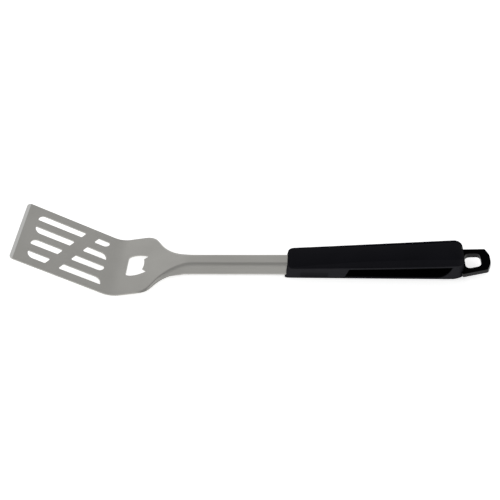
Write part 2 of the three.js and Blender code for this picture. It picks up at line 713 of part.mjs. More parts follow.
const RIVET_LOW = SHELL_WALL + 2 * GAP; // underside of the rivets' lower heads

const body = handleBody(0);
const inside = handleBody(SHELL_WALL);
const tray = handleBody(SHELL_WALL, true);

// The hard inner frame: a block round the tang, panels that fill the windows, and the hang loop.
function handleCore() {
  const block = handleBody(SHELL_WALL + GAP, true).intersect(halfSpace(-1, GAP));
  const panels = handleBody(PANEL_RECESS).intersect(windowTool(GAP));
  const hole = slab(loopHoleShape(), loopPlane(), CUT_DEPTH, CUT_DEPTH);
  const loop = cut(join(cut(loopPlate(), handleBody(-GAP)), loopNeck(0)), hole);
  const tools = [
    channelSlot(GAP, TRIM_END, TANG_LENGTH + GAP),
    channelPlug(GAP, -TRIM_END, TRIM_END + GAP),
  ];
  for (const place of Object.values(RIVET_PLACES)) {
    const x = HANDLE_MOUTH + place;
    const headRoom = RIVET.head + GAP;
    tools.push(post(x, RIVET.shank + GAP, 0, SHAFT_TOP));
    tools.push(post(x, headRoom, SHAFT_TOP - SHEET / 2, ABOVE_ALL));
    tools.push(post(x, headRoom, 0, RIVET_LOW + RIVET.headHeight));
  }
  for (const place of Object.values(SCREW_PLACES)) {
    const x = HANDLE_MOUTH + place;
    tools.push(post(x, SCREW.shank + GAP, 0, ABOVE_ALL));
    tools.push(post(x, LOWER_BOSS.radius + GAP, 0, LOWER_BOSS.height + GAP));
    tools.push(post(x, UPPER_BOSS_RADIUS + GAP, upperBossLow(place) - GAP, ABOVE_ALL));
  }
  return cut(join(block, panels, loop), ...tools);
}

// Lowest point of the boss that a shell screw bites into. In front it stops above the tang.
function upperBossLow(place) {
  const overTang = place < TANG_LENGTH + UPPER_BOSS_RADIUS;
  return overTang ? SHAFT_TOP + 3 * GAP : partingHeight(place) - UPPER_BOSS_DEPTH;
}

function gripUpper() {
  const shell = body.intersect(halfSpace(1, GAP / 2));
  const bosses = [];
  const pilots = [];
  for (const place of Object.values(SCREW_PLACES)) {
    const x = HANDLE_MOUTH + place;
    const low = upperBossLow(place);
    bosses.push(post(x, UPPER_BOSS_RADIUS, low, topHeight(place) - BOSS_ROOF));
    pilots.push(post(x, SCREW.shank + GAP, low - 1, topHeight(place) - PILOT_ROOF));
  }
  const hollow = inside.intersect(halfSpace(1, GAP / 2 - 1));
  return cut(join(cut(shell, hollow), ...bosses), ...pilots);
}

// The near side's blank recess, as a cutter that stops a little below the handle's surface.
function plateRecess() {
  const { start, end, low, high, corner: r, depth } = PLATE;
  const first = HANDLE_MOUTH + start;
  const last = HANDLE_MOUTH + end;
  const shape = roundedShape([
    { x: first, y: low, r },
    { x: last, y: low, r },
    { x: last, y: high, r },
    { x: first, y: high, r },
  ]);
  return slab(shape, uprightPlane(), 0, CUT_DEPTH).subtract(handleBody(depth));
}

function gripLower() {
  const shell = body.intersect(halfSpace(-1, GAP / 2));
  const bosses = [];
  const wells = [];
  for (const place of Object.values(SCREW_PLACES)) {
    const x = HANDLE_MOUTH + place;
    bosses.push(post(x, LOWER_BOSS.radius, SHELL_WALL / 2, LOWER_BOSS.height));
    wells.push(post(x, SCREW.head + GAP, BELOW_ALL, SCREW.wellDepth));
    wells.push(post(x, SCREW.shank + GAP, BELOW_ALL, ABOVE_ALL));
  }
  const mouth = channelPlug(GAP, -TRIM_END, TRIM_END + GAP);
  const hollowed = join(cut(shell, tray), ...bosses);
  return cut(hollowed, windowTool(0), plateRecess(), mouth, loopNeck(GAP), ...wells);
}

// ---- Fasteners -------------------------------------------------------------------------------------

function tangRivet(place) {
  const x = HANDLE_MOUTH + place;
  const headLow = SHAFT_TOP + Math.tan(SHAFT_SLOPE) * place + GAP;
  const headHigh = headLow + RIVET.headHeight;
  const shank = post(x, RIVET.shank, RIVET_LOW, headHigh);
  const upperHead = post(x, RIVET.head, headLow, headHigh);
  const lowerHead = post(x, RIVET.head, RIVET_LOW, RIVET_LOW + RIVET.headHeight);
  return join(shank, upperHead, lowerHead);
}

function shellScrew(place) {
  const x = HANDLE_MOUTH + place;
  const seat = SCREW.wellDepth - GAP;
  const face = seat - SCREW.headHeight;
  const head = post(x, SCREW.head, face, seat);
  const shank = post(x, SCREW.shank, seat - GAP, topHeight(place) - SCREW_TIP_ROOF);
  const { length, width, depth } = CROSS_RECESS;
  const cross = [0, Math.PI / 2].map((turn) => {
    const bar = new THREE.BoxGeometry(length, width, 2 * depth);
    return solid(bar.rotateZ(turn).translate(x, 0, face));
  });
  return cut(join(head, shank), ...cross);
}

// ---- The assembly ----------------------------------------------------------------------------------

const spatula = new THREE.Group();
spatula.add(piece("turner_sheet", turnerSheet(), steel));
spatula.add(piece("handle_core", handleCore(), hardBlack));
spatula.add(piece("grip_upper", gripUpper(), gripBlack));
spatula.add(piece("grip_lower", gripLower(), gripBlack));
for (const [name, place] of Object.entries(RIVET_PLACES)) {
  spatula.add(piece(name, tangRivet(place), zincSteel));
}
for (const [name, place] of Object.entries(SCREW_PLACES)) {
  spatula.add(piece(name, shellScrew(place), zincSteel));
}

export default spatula;
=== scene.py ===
# Grill spatula: the visual model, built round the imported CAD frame.
import math

import bmesh
import bpy
from mathutils import Matrix, Vector


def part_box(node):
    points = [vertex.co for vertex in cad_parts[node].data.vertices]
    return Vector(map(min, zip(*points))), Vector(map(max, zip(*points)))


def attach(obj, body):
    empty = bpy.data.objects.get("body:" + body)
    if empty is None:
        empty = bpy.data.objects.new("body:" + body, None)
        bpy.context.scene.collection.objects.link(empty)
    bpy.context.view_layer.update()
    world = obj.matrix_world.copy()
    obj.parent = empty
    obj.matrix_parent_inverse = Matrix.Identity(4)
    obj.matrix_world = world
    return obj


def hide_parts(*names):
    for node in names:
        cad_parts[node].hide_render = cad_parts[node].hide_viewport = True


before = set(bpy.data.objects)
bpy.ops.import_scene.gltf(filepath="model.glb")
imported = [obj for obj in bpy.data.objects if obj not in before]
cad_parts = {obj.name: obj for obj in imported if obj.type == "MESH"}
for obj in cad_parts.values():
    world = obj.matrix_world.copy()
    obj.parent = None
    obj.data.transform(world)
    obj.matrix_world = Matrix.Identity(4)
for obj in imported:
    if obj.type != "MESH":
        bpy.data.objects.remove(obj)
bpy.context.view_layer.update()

# ---- Dimensions, in millimetres ---------------------------------------------------------------------
# Shapes are drawn in millimetres in the CAD frame and scaled to metres when they become meshes.

MM = 0.001
DEGREE = math.pi / 180
GAP = 0.3  # clearance between neighbouring pieces
CUT_DEPTH = 40  # half length of a cutter that goes right through
CUT_OVERLAP = 1  # how far a cutter passes the face it opens
BELOW_ALL = -5  # heights under and over everything
ABOVE_ALL = 60

# Width of the rounding along the edges of each kind of piece
EDGE_SOFTNESS = {"sheet": 0.22, "core": 0.3, "shell": 0.2, "rivet": 0.35, "screw": 0.25}

# The sheet, along its top face from the front edge of the blade to the end of the tang
SHEET = 1.4
BLADE_LENGTH = 104.4
BLADE_SLOPE = 32.6 * DEGREE
BLADE_HALF_WIDTH = 38
FRONT_CORNER = 4
GRIND_LENGTH = 3.2
EDGE_THICKNESS = 0.5
HEEL_RADIUS = 22
NECK_LENGTH = 75.4
NECK_SLOPE = 10.2 * DEGREE
NECK_RADIUS = 60
SHAFT_SLOPE = 0.27 * DEGREE
SHAFT_LENGTH = 102.7
TANG_LENGTH = 92
SHOULDER_START = 131
SHOULDER_RADIUS = 16
FLARE_ANGLE = 53 * DEGREE
FLARE_END = 186
FLARE_RADIUS = 46.3
FLARE_HALF_WIDTH = 5.85
FOLD_START = 132
FOLD_END = 181
LIP_START = 160
FOLD_RADIUS = 5
FLANGE_ANGLE = 60 * DEGREE
FLANGE_DROP = 8.5
LIP_RADIUS = 1.8
LIP_TURN = 112 * DEGREE
LIP_LENGTH = 0.6
TRIM_START = 7
TRIM_END = 16
TANG_DROP = 5

# Blade slots and the bottle opener
SLOT_ROWS = (24.95, 8.25, -8.25, -24.95)
SLOT_WIDTH = 7.9
SLOT_START = 15
SLOT_END = 92.2
BAR_FRONT = 50
BAR_BACK = 63.7
BAR_SKEW = 0.556
SLOT_BIG_CORNER = 6.5
SLOT_SMALL_CORNER = 1.2
OPENER = {"start": 115.3, "bulge": 122, "back": 130, "tip": 136.7, "tooth": 132.7, "bow": 133.8}
OPENER_HALF = {"start": 12, "bulge": 14.9, "back": 14, "outer": 11, "inner": 9.6, "tooth": 6.7}
OPENER_CORNER = 2
OPENER_SPREAD = 0.8
OPENER_TIP_ROUND = 0.7

# Handle, measured from its mouth
HANDLE_LENGTH = 171.4
FRONT_PLAN_RADIUS = 5.5
BACK_PLAN_RADIUS = 8
END_EDGE_RADIUS = 1.2
BACK_EDGE_RADIUS = 3.5
PARTING_HALF = (14.05, 17.65, 0.45)  # at the mouth, at the end, and the bow between them
PARTING_RISE = (1.4, 10.2, -0.47)
BEVEL_RUN = (0.6, 5.7, 2.9)
UNDERSIDE_HALF = (13.1, 13.65, 0)
CROWN = 0.5
LIP_FORWARD = 3.2
LIP_FADE = 12
MOUTH_DISH = 1
TAIL_RISE = 2.6
TAIL_LENGTH = 9
UNDER_ROUND = 0.12
SHELL_WALL = 2.4
BEVEL_RATIO = 0.45
OPEN_TOP_REACH = 3
TOP_ROUND = 1.2
SIDE_ROUND = 1.2
BOTTOM_ROUND = 1.6
SOFT_BEVEL = 3
SIDE_INSET = 1.05
UNDER_INSET = 0.9
PARTING_INSET = 0.25
WINDOW_START = 56.5
WINDOW_START_TOP = 60.8
WINDOW_END = 160
WINDOW_END_RUN = 13
WINDOW_RIM = 2.6
WINDOW_SILL = 3
WINDOW_SWEEP = (3, 1)
PANEL_RECESS = 1
PLATE_SPAN = (12.8, 40.2)  # the blank name-plate recess on the near side
PLATE_HEIGHTS = (3.6, 9.8)
PLATE_CORNER = 0.8
PLATE_DEPTH = 0.3

# The least that is left of the handle's section and plan where an inset takes almost all of it
LEAST = {"side_height": 1, "bevel_drop": 0.05, "top_half": 1, "front_radius": 0.5, "back_radius": 1}

# Hang loop
LOOP_SLOPE = 9.3 * DEGREE
LOOP_THICKNESS = 5.5
LOOP_TOP = -2.6
LOOP_CORNERS = ((169.6, 16.8, 2), (194.9, 13.6, 2.2), (198.4, 5, 12))
LOOP_EDGE_ROUND = 1.5
LOOP_NECK = {"start": 155, "end": 174, "half": 6, "corner": 1}
LOOP_HOLE = {"start": 174.3, "end": 189.4, "half": 10, "tip_half": 8.2, "corner": 4.4}

# Fasteners, measured from the mouth
RIVET_PLACES = {"tang_rivet_front": 22, "tang_rivet_rear": 72}
RIVET_SHANK = 2
RIVET_HEAD = 3.6
RIVET_HEAD_HEIGHT = 1.1
SCREW_PLACES = {"shell_screw_front": 48, "shell_screw_middle": 112, "shell_screw_rear": 150}
SCREW_SHANK = 1.7
SCREW_HEAD = 3.3
SCREW_HEAD_HEIGHT = 1.8
SCREW_WELL = 3.2
CROSS_LENGTH = 3.8
CROSS_WIDTH = 0.9
CROSS_DEPTH = 0.7
LOWER_BOSS_RADIUS = 5.6
LOWER_BOSS_HEIGHT = 6
UPPER_BOSS_RADIUS = 4
UPPER_BOSS_DEPTH = 8
BOSS_ROOF = 1
PILOT_ROOF = 2
SCREW_TIP_ROOF = 2.6

# Two anchors read from the CAD nodes: the mouth's place and the height of the shaft's top face
screw_low, screw_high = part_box("shell_screw_front")
HANDLE_MOUTH = (screw_low.x + screw_high.x) / 2 / MM - SCREW_PLACES["shell_screw_front"]
rivet_rise = math.tan(SHAFT_SLOPE) * RIVET_PLACES["tang_rivet_front"]
SHAFT_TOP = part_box("tang_rivet_front")[1].z / MM - GAP - RIVET_HEAD_HEIGHT - rivet_rise
RIVET_LOW = SHELL_WALL + 2 * GAP


def clamp(value, low=0.0, high=1.0):
    return max(low, min(high, value))


def lerp(a, b, share):
    return a + (b - a) * share


def smoothstep(value, low, high):
    share = clamp((value - low) / (high - low))
    return share * share * (3 - 2 * share)


# ---- Mesh building ----------------------------------------------------------------------------------

WELD_DISTANCE = 0.002  # points closer together than this become one
SLIVER_DISTANCE = 0.004  # edges shorter than this are left over from the cuts
BEVEL_ANGLE = 38 * DEGREE  # edges that turn more than this are rounded
SMOOTH_ANGLE = 40 * DEGREE  # edges that still turn more than this are shaded as sharp


def new_object(name, verts, faces):
    """A mesh object from points in millimetres, with its faces turned outwards."""
    mesh = bpy.data.meshes.new(name)
    mesh.from_pydata([Vector(v) * MM for v in verts], [], faces)
    bm = bmesh.new()
    bm.from_mesh(mesh)
    bmesh.ops.remove_doubles(bm, verts=bm.verts, dist=WELD_DISTANCE * MM)
    bmesh.ops.recalc_face_normals(bm, faces=bm.faces)
    bm.to_mesh(mesh)
    bm.free()
    obj = bpy.data.objects.new(name, mesh)
    bpy.context.scene.collection.objects.link(obj)
    return obj


def loft(name, rings):
    """Rings of equally many points joined into one closed skin with a cap at each end."""
    count = len(rings[0])
    verts = [p for ring in rings for p in ring]
    faces = []
    for row in range(len(rings) - 1):
        for i in range(count):
            a = row * count + i
            b = row * count + (i + 1) % count
            faces.append((a, b, b + count, a + count))
    last = (len(rings) - 1) * count
    faces.append(tuple(reversed(range(count))))
    faces.append(tuple(range(last, last + count)))
    return new_object(name, verts, faces)


def prism(outline, matrix, below, above):
    """An outline in a plane, extruded both ways along the plane's normal."""
    low = [matrix @ Vector((x, y, -below)) for x, y in outline]
    high = [matrix @ Vector((x, y, above)) for x, y in outline]
    count = len(outline)
    faces = [tuple(reversed(range(count))), tuple(range(count, 2 * count))]
    for i in range(count):
        j = (i + 1) % count
        faces.append((i, j, j + count, i + count))
    return new_object("tool", low + high, faces)


def post(x, radius, low, high, sides=40):
    """An upright cylinder between two heights."""
    outline = []
    for k in range(sides):
        angle = 2 * math.pi * k / sides
        outline.append((radius * math.cos(angle), radius * math.sin(angle)))
    return prism(outline, Matrix.Translation((x, 0, 0)), -low, high)


def combine(body, tools, operation):
    """The body united with, cut by or intersected with each tool in turn."""
    for tool in tools:
        step = body.modifiers.new("step", "BOOLEAN")
        step.operation = operation
        step.solver = "EXACT"
        step.object = tool
    shape = body.evaluated_get(bpy.context.evaluated_depsgraph_get())
    made = bpy.data.meshes.new_from_object(shape)
    body.modifiers.clear()
    body.data = made
    for tool in tools:
        bpy.data.objects.remove(tool)
    return body


def cut(body, *tools):
    return combine(body, tools, "DIFFERENCE")


def join(body, *tools):
    return combine(body, tools, "UNION")


def keep_inside(body, tool):
    return combine(body, [tool], "INTERSECT")


def soften(obj, width, segments=2):
    """Rounds the sharp edges a little and shades the surface smoothly between those that remain."""
    bm = bmesh.new()
    bm.from_mesh(obj.data)
    bmesh.ops.remove_doubles(bm, verts=bm.verts, dist=SLIVER_DISTANCE * MM)
    bmesh.ops.dissolve_degenerate(bm, edges=bm.edges, dist=SLIVER_DISTANCE * MM)
    bm.to_mesh(obj.data)
    bm.free()
    bevel = obj.modifiers.new("soft_edges", "BEVEL")
    bevel.width = width * MM
    bevel.segments = segments
    bevel.limit_method = "ANGLE"
    bevel.angle_limit = BEVEL_ANGLE
    bevel.use_clamp_overlap = True
    shape = obj.evaluated_get(bpy.context.evaluated_depsgraph_get())
    made = bpy.data.meshes.new_from_object(shape)
    obj.modifiers.clear()
    obj.data = made
    made.polygons.foreach_set("use_smooth", [True] * len(made.polygons))
    made.set_sharp_from_angle(angle=SMOOTH_ANGLE)
    normals = obj.modifiers.new("flat_faces", "WEIGHTED_NORMAL")
    normals.keep_sharp = True
    return obj


def rounded_outline(corners, segments=8):
    """The points of a closed outline whose corners (x, y, radius) are rounded."""
    outline = []
    for i, (x, y, r) in enumerate(corners):
        corner = Vector((x, y))
        before = Vector(corners[i - 1][:2])
        after = Vector(corners[(i + 1) % len(corners)][:2])
        back = (before - corner).normalized()
        ahead = (after - corner).normalized()
        half_angle = math.acos(clamp(back.dot(ahead), -1, 1)) / 2
        reach = r / math.tan(half_angle)
        centre = corner + (back + ahead).normalized() * (r / math.sin(half_angle))
        start = corner + back * reach - centre
        end = corner + ahead * reach - centre
        first = math.atan2(start.y, start.x)
        sweep = math.atan2(end.y, end.x) - first
        sweep = (sweep + math.pi) % (2 * math.pi) - math.pi
        for k in range(segments + 1):
            angle = first + sweep * k / segments
            outline.append((centre.x + r * math.cos(angle), centre.y + r * math.sin(angle)))
    return outline


def bezier(points, steps):
    """Points along a quadratic or cubic curve, its start left out."""
    degree = len(points) - 1
    made = []
    for k in range(1, steps + 1):
        t = k / steps
        weights = [math.comb(degree, i) * t**i * (1 - t) ** (degree - i) for i in range(degree + 1)]
        x = sum(w * p[0] for w, p in zip(weights, points))
        y = sum(w * p[1] for w, p in zip(weights, points))
        made.append((x, y))
    return made


# ---- The sheet --------------------------------------------------------------------------------------

HEEL_TANGENT = HEEL_RADIUS * math.tan((BLADE_SLOPE + NECK_SLOPE) / 2)
NECK_TANGENT = NECK_RADIUS * math.tan((NECK_SLOPE - SHAFT_SLOPE) / 2)
HEEL_TURN = BLADE_SLOPE + NECK_SLOPE
NECK_TURN = SHAFT_SLOPE - NECK_SLOPE

# Stretches of the sheet's top line: length, turn, and how many rings it needs
STRETCHES = (
    (BLADE_LENGTH - HEEL_TANGENT, 0, 1),
    (HEEL_RADIUS * HEEL_TURN, HEEL_TURN, 20),
    (NECK_LENGTH - HEEL_TANGENT - NECK_TANGENT, 0, 1),
    (NECK_RADIUS * -NECK_TURN, NECK_TURN, 8),
    (SHAFT_LENGTH - NECK_TANGENT + TANG_LENGTH, 0, 1),
)
HEEL_END = STRETCHES[0][0] + STRETCHES[1][0]
SHEET_LENGTH = sum(length for length, turn, steps in STRETCHES)
MOUTH_DISTANCE = SHEET_LENGTH - TANG_LENGTH

SHAFT_RUN = (SHAFT_LENGTH, SHAFT_SLOPE)
NECK_RUN = (NECK_LENGTH, NECK_SLOPE)
BLADE_RUN = (BLADE_LENGTH, -BLADE_SLOPE)
FRONT_X = HANDLE_MOUTH - sum(n * math.cos(a) for n, a in (SHAFT_RUN, NECK_RUN, BLADE_RUN))
FRONT_Z = SHAFT_TOP - sum(n * math.sin(a) for n, a in (SHAFT_RUN, NECK_RUN, BLADE_RUN))


def sheet_line(distance):
    """Where the sheet's top line is at a distance from the front edge, and its heading."""
    left = distance
    x, z, angle = FRONT_X, FRONT_Z, -BLADE_SLOPE
    for length, turn, _ in STRETCHES:
        run = min(left, length)
        turned = turn * run / length
        chord = run if turned == 0 else 2 * math.sin(turned / 2) * length / turn
        x += chord * math.cos(angle + turned / 2)
        z += chord * math.sin(angle + turned / 2)
        angle += turned
        left -= run
        if left <= 0:
            break
    return x, z, angle


def plane(x, z, slope):
    """A plane through (x, z) that holds the Y axis and rises towards +X by the slope."""
    forward = Vector((math.cos(slope), 0, math.sin(slope)))
    across = Vector((0, 1, 0))
    normal = Vector((-math.sin(slope), 0, math.cos(slope)))
    matrix = Matrix((forward, across, normal)).transposed().to_4x4()
    matrix.translation = (x, 0, z)
    return matrix


def sheet_plane(distance):
    """The sheet's plane at a distance, with its own zero back at the front edge."""
    x, z, angle = sheet_line(distance)
    back_x = x - distance * math.cos(angle)
    back_z = z - distance * math.sin(angle)
    return plane(back_x, back_z, angle)


SHOULDER_END = SHOULDER_START + SHOULDER_RADIUS * math.sin(FLARE_ANGLE)
FLARE_START = FLARE_END - FLARE_RADIUS * math.sin(FLARE_ANGLE)


def outline_half_width(distance):
    """Half the width of the sheet's flat outline."""
    if distance < FRONT_CORNER:
        rise = math.sqrt(FRONT_CORNER**2 - (FRONT_CORNER - distance) ** 2)
        return BLADE_HALF_WIDTH - FRONT_CORNER + rise
    if distance < SHOULDER_START:
        return BLADE_HALF_WIDTH
    if distance < SHOULDER_END:
        rise = math.sqrt(SHOULDER_RADIUS**2 - (distance - SHOULDER_START) ** 2)
        return BLADE_HALF_WIDTH - SHOULDER_RADIUS + rise
    if distance > FLARE_END:
        return FLARE_HALF_WIDTH
    left = FLARE_END - max(distance, FLARE_START)
    flare = FLARE_HALF_WIDTH + FLARE_RADIUS - math.sqrt(FLARE_RADIUS**2 - left**2)
    if distance > FLARE_START:
        return flare
    shoulder = BLADE_HALF_WIDTH - SHOULDER_RADIUS * (1 - math.cos(FLARE_ANGLE))
    return lerp(shoulder, flare, (distance - SHOULDER_END) / (FLARE_START - SHOULDER_END))


def half_section(distance, segments=8):
    """Half the sheet's section, from the middle outwards: (y, z, heading) of the top face."""
    trimmed = smoothstep(distance, MOUTH_DISTANCE + TRIM_START, MOUTH_DISTANCE + TRIM_END)
    folded = clamp((distance - FOLD_START) / (FOLD_END - FOLD_START))
    lipped = smoothstep(distance, LIP_START, FOLD_END) * (1 - trimmed)
    drop = lerp(FLANGE_DROP, TANG_DROP, trimmed) * folded
    fold_drop = FOLD_RADIUS * (1 - math.cos(FLANGE_ANGLE))
    fold_turn = math.acos(1 - drop / FOLD_RADIUS) if drop < fold_drop else FLANGE_ANGLE
    flange = max(0, drop - fold_drop) / math.sin(FLANGE_ANGLE)
    shown = min(fold_turn, math.pi / 4)
    fold_reach = FOLD_RADIUS * (math.sin(shown) + math.cos(shown) - 1)
    moves = [(outline_half_width(distance) - fold_reach, 0, 0)]
    moves += [(0, FOLD_RADIUS, fold_turn / segments)] * segments
    moves += [(flange, 0, 0)]
    moves += [(0, LIP_RADIUS, LIP_TURN * lipped / segments)] * segments
    moves += [(LIP_LENGTH * lipped, 0, 0)]
    y = z = heading = 0
    points = []
    for length, radius, turn in moves:
        chord = length if radius == 0 else 2 * radius * math.sin(turn / 2)
        y += chord * math.cos(heading + turn / 2)
        z -= chord * math.sin(heading + turn / 2)
        heading += turn
        points.append((y, z, heading))
    return points


def sheet_ring(distance):
    """One closed ring of the sheet: along the underside from -Y to +Y and back over the top."""
    x, z, angle = sheet_line(distance)
    ground_off = (SHEET - EDGE_THICKNESS) * (1 - clamp(distance / GRIND_LENGTH))
    half = half_section(distance)
    top = [(y, n - ground_off) for y, n, heading in half]
    under = [(y - SHEET * math.sin(h), n - SHEET * math.cos(h)) for y, n, h in half]
    row = [(-y, n) for y, n in reversed(under)] + under
    row += list(reversed(top)) + [(-y, n) for y, n in top]
    return [(x - n * math.sin(angle), y, z + n * math.cos(angle)) for y, n in row]


LEAST_SPACING = 0.05  # stations closer together than this are merged


def sheet_stations():
    """Distances at which the sheet changes, closer together where it bends."""
    stations = {GRIND_LENGTH, SHEET_LENGTH}
    corner_steps = 8

    def spread(low, high, steps):
        stations.update(lerp(low, high, k / steps) for k in range(steps + 1))

    for k in range(corner_steps + 1):
        stations.add(FRONT_CORNER * (1 - math.cos(k * math.pi / 2 / corner_steps)))
    start = 0
    for length, _, steps in STRETCHES:
        spread(start, start + length, steps)
        start += length
    spread(SHOULDER_START, SHOULDER_END, 12)
    spread(SHOULDER_END, FLARE_START, 4)
    spread(FLARE_START, FLARE_END, 36)
    spread(MOUTH_DISTANCE + TRIM_START, MOUTH_DISTANCE + TRIM_END, 6)
    kept = []
    for station in sorted(stations):
        if not kept or station - kept[-1] > LEAST_SPACING:
            kept.append(station)
    return kept


def slot_outline(row, is_front, big_corner_up):
    """A slot in front of or behind the bar: skewed along the bar, two unlike corners at its far end."""
    low = row - SLOT_WIDTH / 2
    high = row + SLOT_WIDTH / 2
    bar = BAR_FRONT if is_front else BAR_BACK
    end = SLOT_START if is_front else SLOT_END
    small = SLOT_SMALL_CORNER
    big = SLOT_BIG_CORNER
    return rounded_outline([
        (end, low, small if big_corner_up else big),
        (bar + BAR_SKEW * low, low, small),
        (bar + BAR_SKEW * high, high, small),
        (end, high, big if big_corner_up else small),
    ])


def opener_outline():
    """The cap-lifting hole: a straight edge, bulging sides, and two tips beside the tooth edge."""
    at, half, round_ = OPENER, OPENER_HALF, OPENER_TIP_ROUND
    start = at["start"]
    side = [(start, half["start"] - OPENER_CORNER)]
    corner_end = (start + OPENER_CORNER, half["start"] + OPENER_SPREAD)
    side += bezier([side[-1], (start, half["start"]), corner_end], 6)
    bulge = (at["bulge"], half["bulge"])
    back = (at["back"], half["back"])
    side += bezier([side[-1], bulge, back, (at["tip"] - round_ / 2, half["outer"])], 14)
    tip_pull = (at["tip"] + round_, half["outer"] - round_)
    side += bezier([side[-1], tip_pull, (at["tip"], half["inner"])], 6)
    side += [(at["tooth"], half["tooth"])]
    side += bezier([side[-1], (at["bow"], half["tooth"] / 2), (at["bow"], 0)], 8)
    return side + [(x, -y) for x, y in reversed(side[:-1])]


def turner_sheet():
    """The blade, neck, channel and tang as one sheet, with its slots and holes cut out."""
    sheet = loft("sheet", [sheet_ring(d) for d in sheet_stations()])
    reach = 3 * SHEET
    tools = []
    for i, row in enumerate(SLOT_ROWS):
        for is_front in (True, False):
            outline = slot_outline(row, is_front, is_front == (i % 2 == 0))
            tools.append(prism(outline, sheet_plane(0), reach, reach))
    tools.append(prism(opener_outline(), sheet_plane(HEEL_END), reach, reach))
    holes = [(place, RIVET_SHANK) for place in RIVET_PLACES.values()]
    holes.append((SCREW_PLACES["shell_screw_front"], SCREW_SHANK))
    for place, radius in holes:
        tools.append(post(HANDLE_MOUTH + place, radius + GAP, SHAFT_TOP - reach, SHAFT_TOP + reach))
    return soften(cut(sheet, *tools), EDGE_SOFTNESS["sheet"])


# ---- The handle -------------------------------------------------------------------------------------


def along(measure, place):
    """A measure of the handle's section: straight from the mouth to the end, plus a bow."""
    mouth, end, bow = measure
    share = place / HANDLE_LENGTH
    return mouth + (end - mouth) * share + 4 * bow * share * (1 - share)


def parting_height(place):
    return SHAFT_TOP + along(PARTING_RISE, place)


def top_height(place):
    return parting_height(place) + BEVEL_RATIO * along(BEVEL_RUN, place)


def crown_arc(half, height, steps=12):
    """Points of the slightly arched top face between its two edges."""
    points = []
    for k in range(1, steps):
        share = 1 - 2 * k / steps
        points.append((half * share, height + CROWN * (1 - share**2)))
    return points


def mouth_shift(place, across, depth):
    """How far the mouth's edge stands forward: a drawn-out lower lip, and a dish across it."""
    fade = clamp(1 - place / LIP_FADE)
    dish = MOUTH_DISH * clamp(1 - across**2)
    return (LIP_FORWARD * depth**2 - dish) * fade


def handle_ring(place, inset, open_top, draw_in, drop_in):
    """One ring of the handle body, inset from its surface, with its ends drawn in."""
    at = clamp(place, 0, HANDLE_LENGTH)
    height = parting_height(at)
    bevel = along(BEVEL_RUN, at)
    tail = clamp((at - HANDLE_LENGTH + TAIL_LENGTH) / TAIL_LENGTH)
    side = along(PARTING_HALF, at) - inset * SIDE_INSET - draw_in
    under = along(UNDERSIDE_HALF, at) - inset * UNDER_INSET - draw_in * UNDER_ROUND
    low = inset + TAIL_RISE * tail + drop_in * UNDER_ROUND
    middle = max(height - inset * PARTING_INSET, low + LEAST["side_height"])
    high = max(top_height(at) - inset - drop_in, middle + LEAST["bevel_drop"])
    top = max(side - bevel + inset * PARTING_INSET, LEAST["top_half"])
    sharpen = min(1, (side - top) / SOFT_BEVEL)
    half = [(under, low, BOTTOM_ROUND)]
    if open_top:
        half += [(side, height + OPEN_TOP_REACH, SIDE_ROUND)]
    else:
        half += [(side, middle, SIDE_ROUND * sharpen), (top, high, TOP_ROUND * sharpen)]
    mirrored = [(-x, y, r) for x, y, r in reversed(half)]
    segments = 5
    outline = rounded_outline(half + mirrored, segments)
    if not open_top:
        middle_of_top = len(half) * (segments + 1)
        outline[middle_of_top:middle_of_top] = crown_arc(top, high)
    ring = []
    for y, z in outline:
        depth = clamp((height - z) / height)
        ring.append((HANDLE_MOUTH + place - mouth_shift(place, y / side, depth), y, z))
    return ring


def handle_body(inset, open_top=False):
    """The whole handle body as one block, inset by a wall thickness for its inside."""
    start = inset
    end = HANDLE_LENGTH - inset
    front = max(FRONT_PLAN_RADIUS - inset, LEAST["front_radius"])
    back = max(BACK_PLAN_RADIUS - inset, LEAST["back_radius"])
    rings = []
    front_steps = 8
    for k in range(front_steps + 1):
        angle = k / front_steps * math.pi / 2
        shy = 1 - math.sin(angle)
        place = start + front * (1 - math.cos(angle))
        rings.append(handle_ring(place, inset, open_top, front * shy, END_EDGE_RADIUS * shy))
    middle_steps = 24
    for k in range(1, middle_steps):
        place = lerp(start + front, end - back, k / middle_steps)
        rings.append(handle_ring(place, inset, open_top, 0, 0))
    back_steps = 12
    for k in range(back_steps + 1):
        angle = k / back_steps * math.pi / 2
        shy = 1 - math.cos(angle)
        place = end - back * (1 - math.sin(angle))
        rings.append(handle_ring(place, inset, open_top, back * shy, BACK_EDGE_RADIUS * shy))
    return loft("body", rings)


UPRIGHT = Matrix(((1, 0, 0, 0), (0, 0, -1, 0), (0, 1, 0, 0), (0, 0, 0, 1)))  # the X-Z plane


def half_space(side, clearance):
    """Everything above (side 1) or below (side -1) the parting line, kept clear of it."""
    steps = 36
    line = []
    for k in range(steps + 1):
        place = lerp(-CUT_DEPTH, HANDLE_LENGTH + CUT_DEPTH, k / steps)
        line.append((HANDLE_MOUTH + place, parting_height(place) + side * clearance))
    far = ABOVE_ALL if side > 0 else BELOW_ALL
    line += [(line[-1][0], far), (line[0][0], far)]
    return prism(line, UPRIGHT, CUT_DEPTH, CUT_DEPTH)


def channel_run(ring, start, end):
    """A section of the channel swept along the shaft between two places."""
    rings = []
    for place in (start, end):
        rise = SHAFT_TOP + math.tan(SHAFT_SLOPE) * place
        rings.append([(HANDLE_MOUTH + place, y, rise + z) for y, z in ring])
    return loft("channel", rings)


def channel_plug(clearance, start, end):
    """The solid outline of the channel with a clearance all round."""
    grown = [
        (y + clearance * math.sin(h), z + clearance * math.cos(h))
        for y, z, h in half_section(MOUTH_DISTANCE)
    ]
    return channel_run(grown[::-1] + [(-y, z) for y, z in grown], start, end)


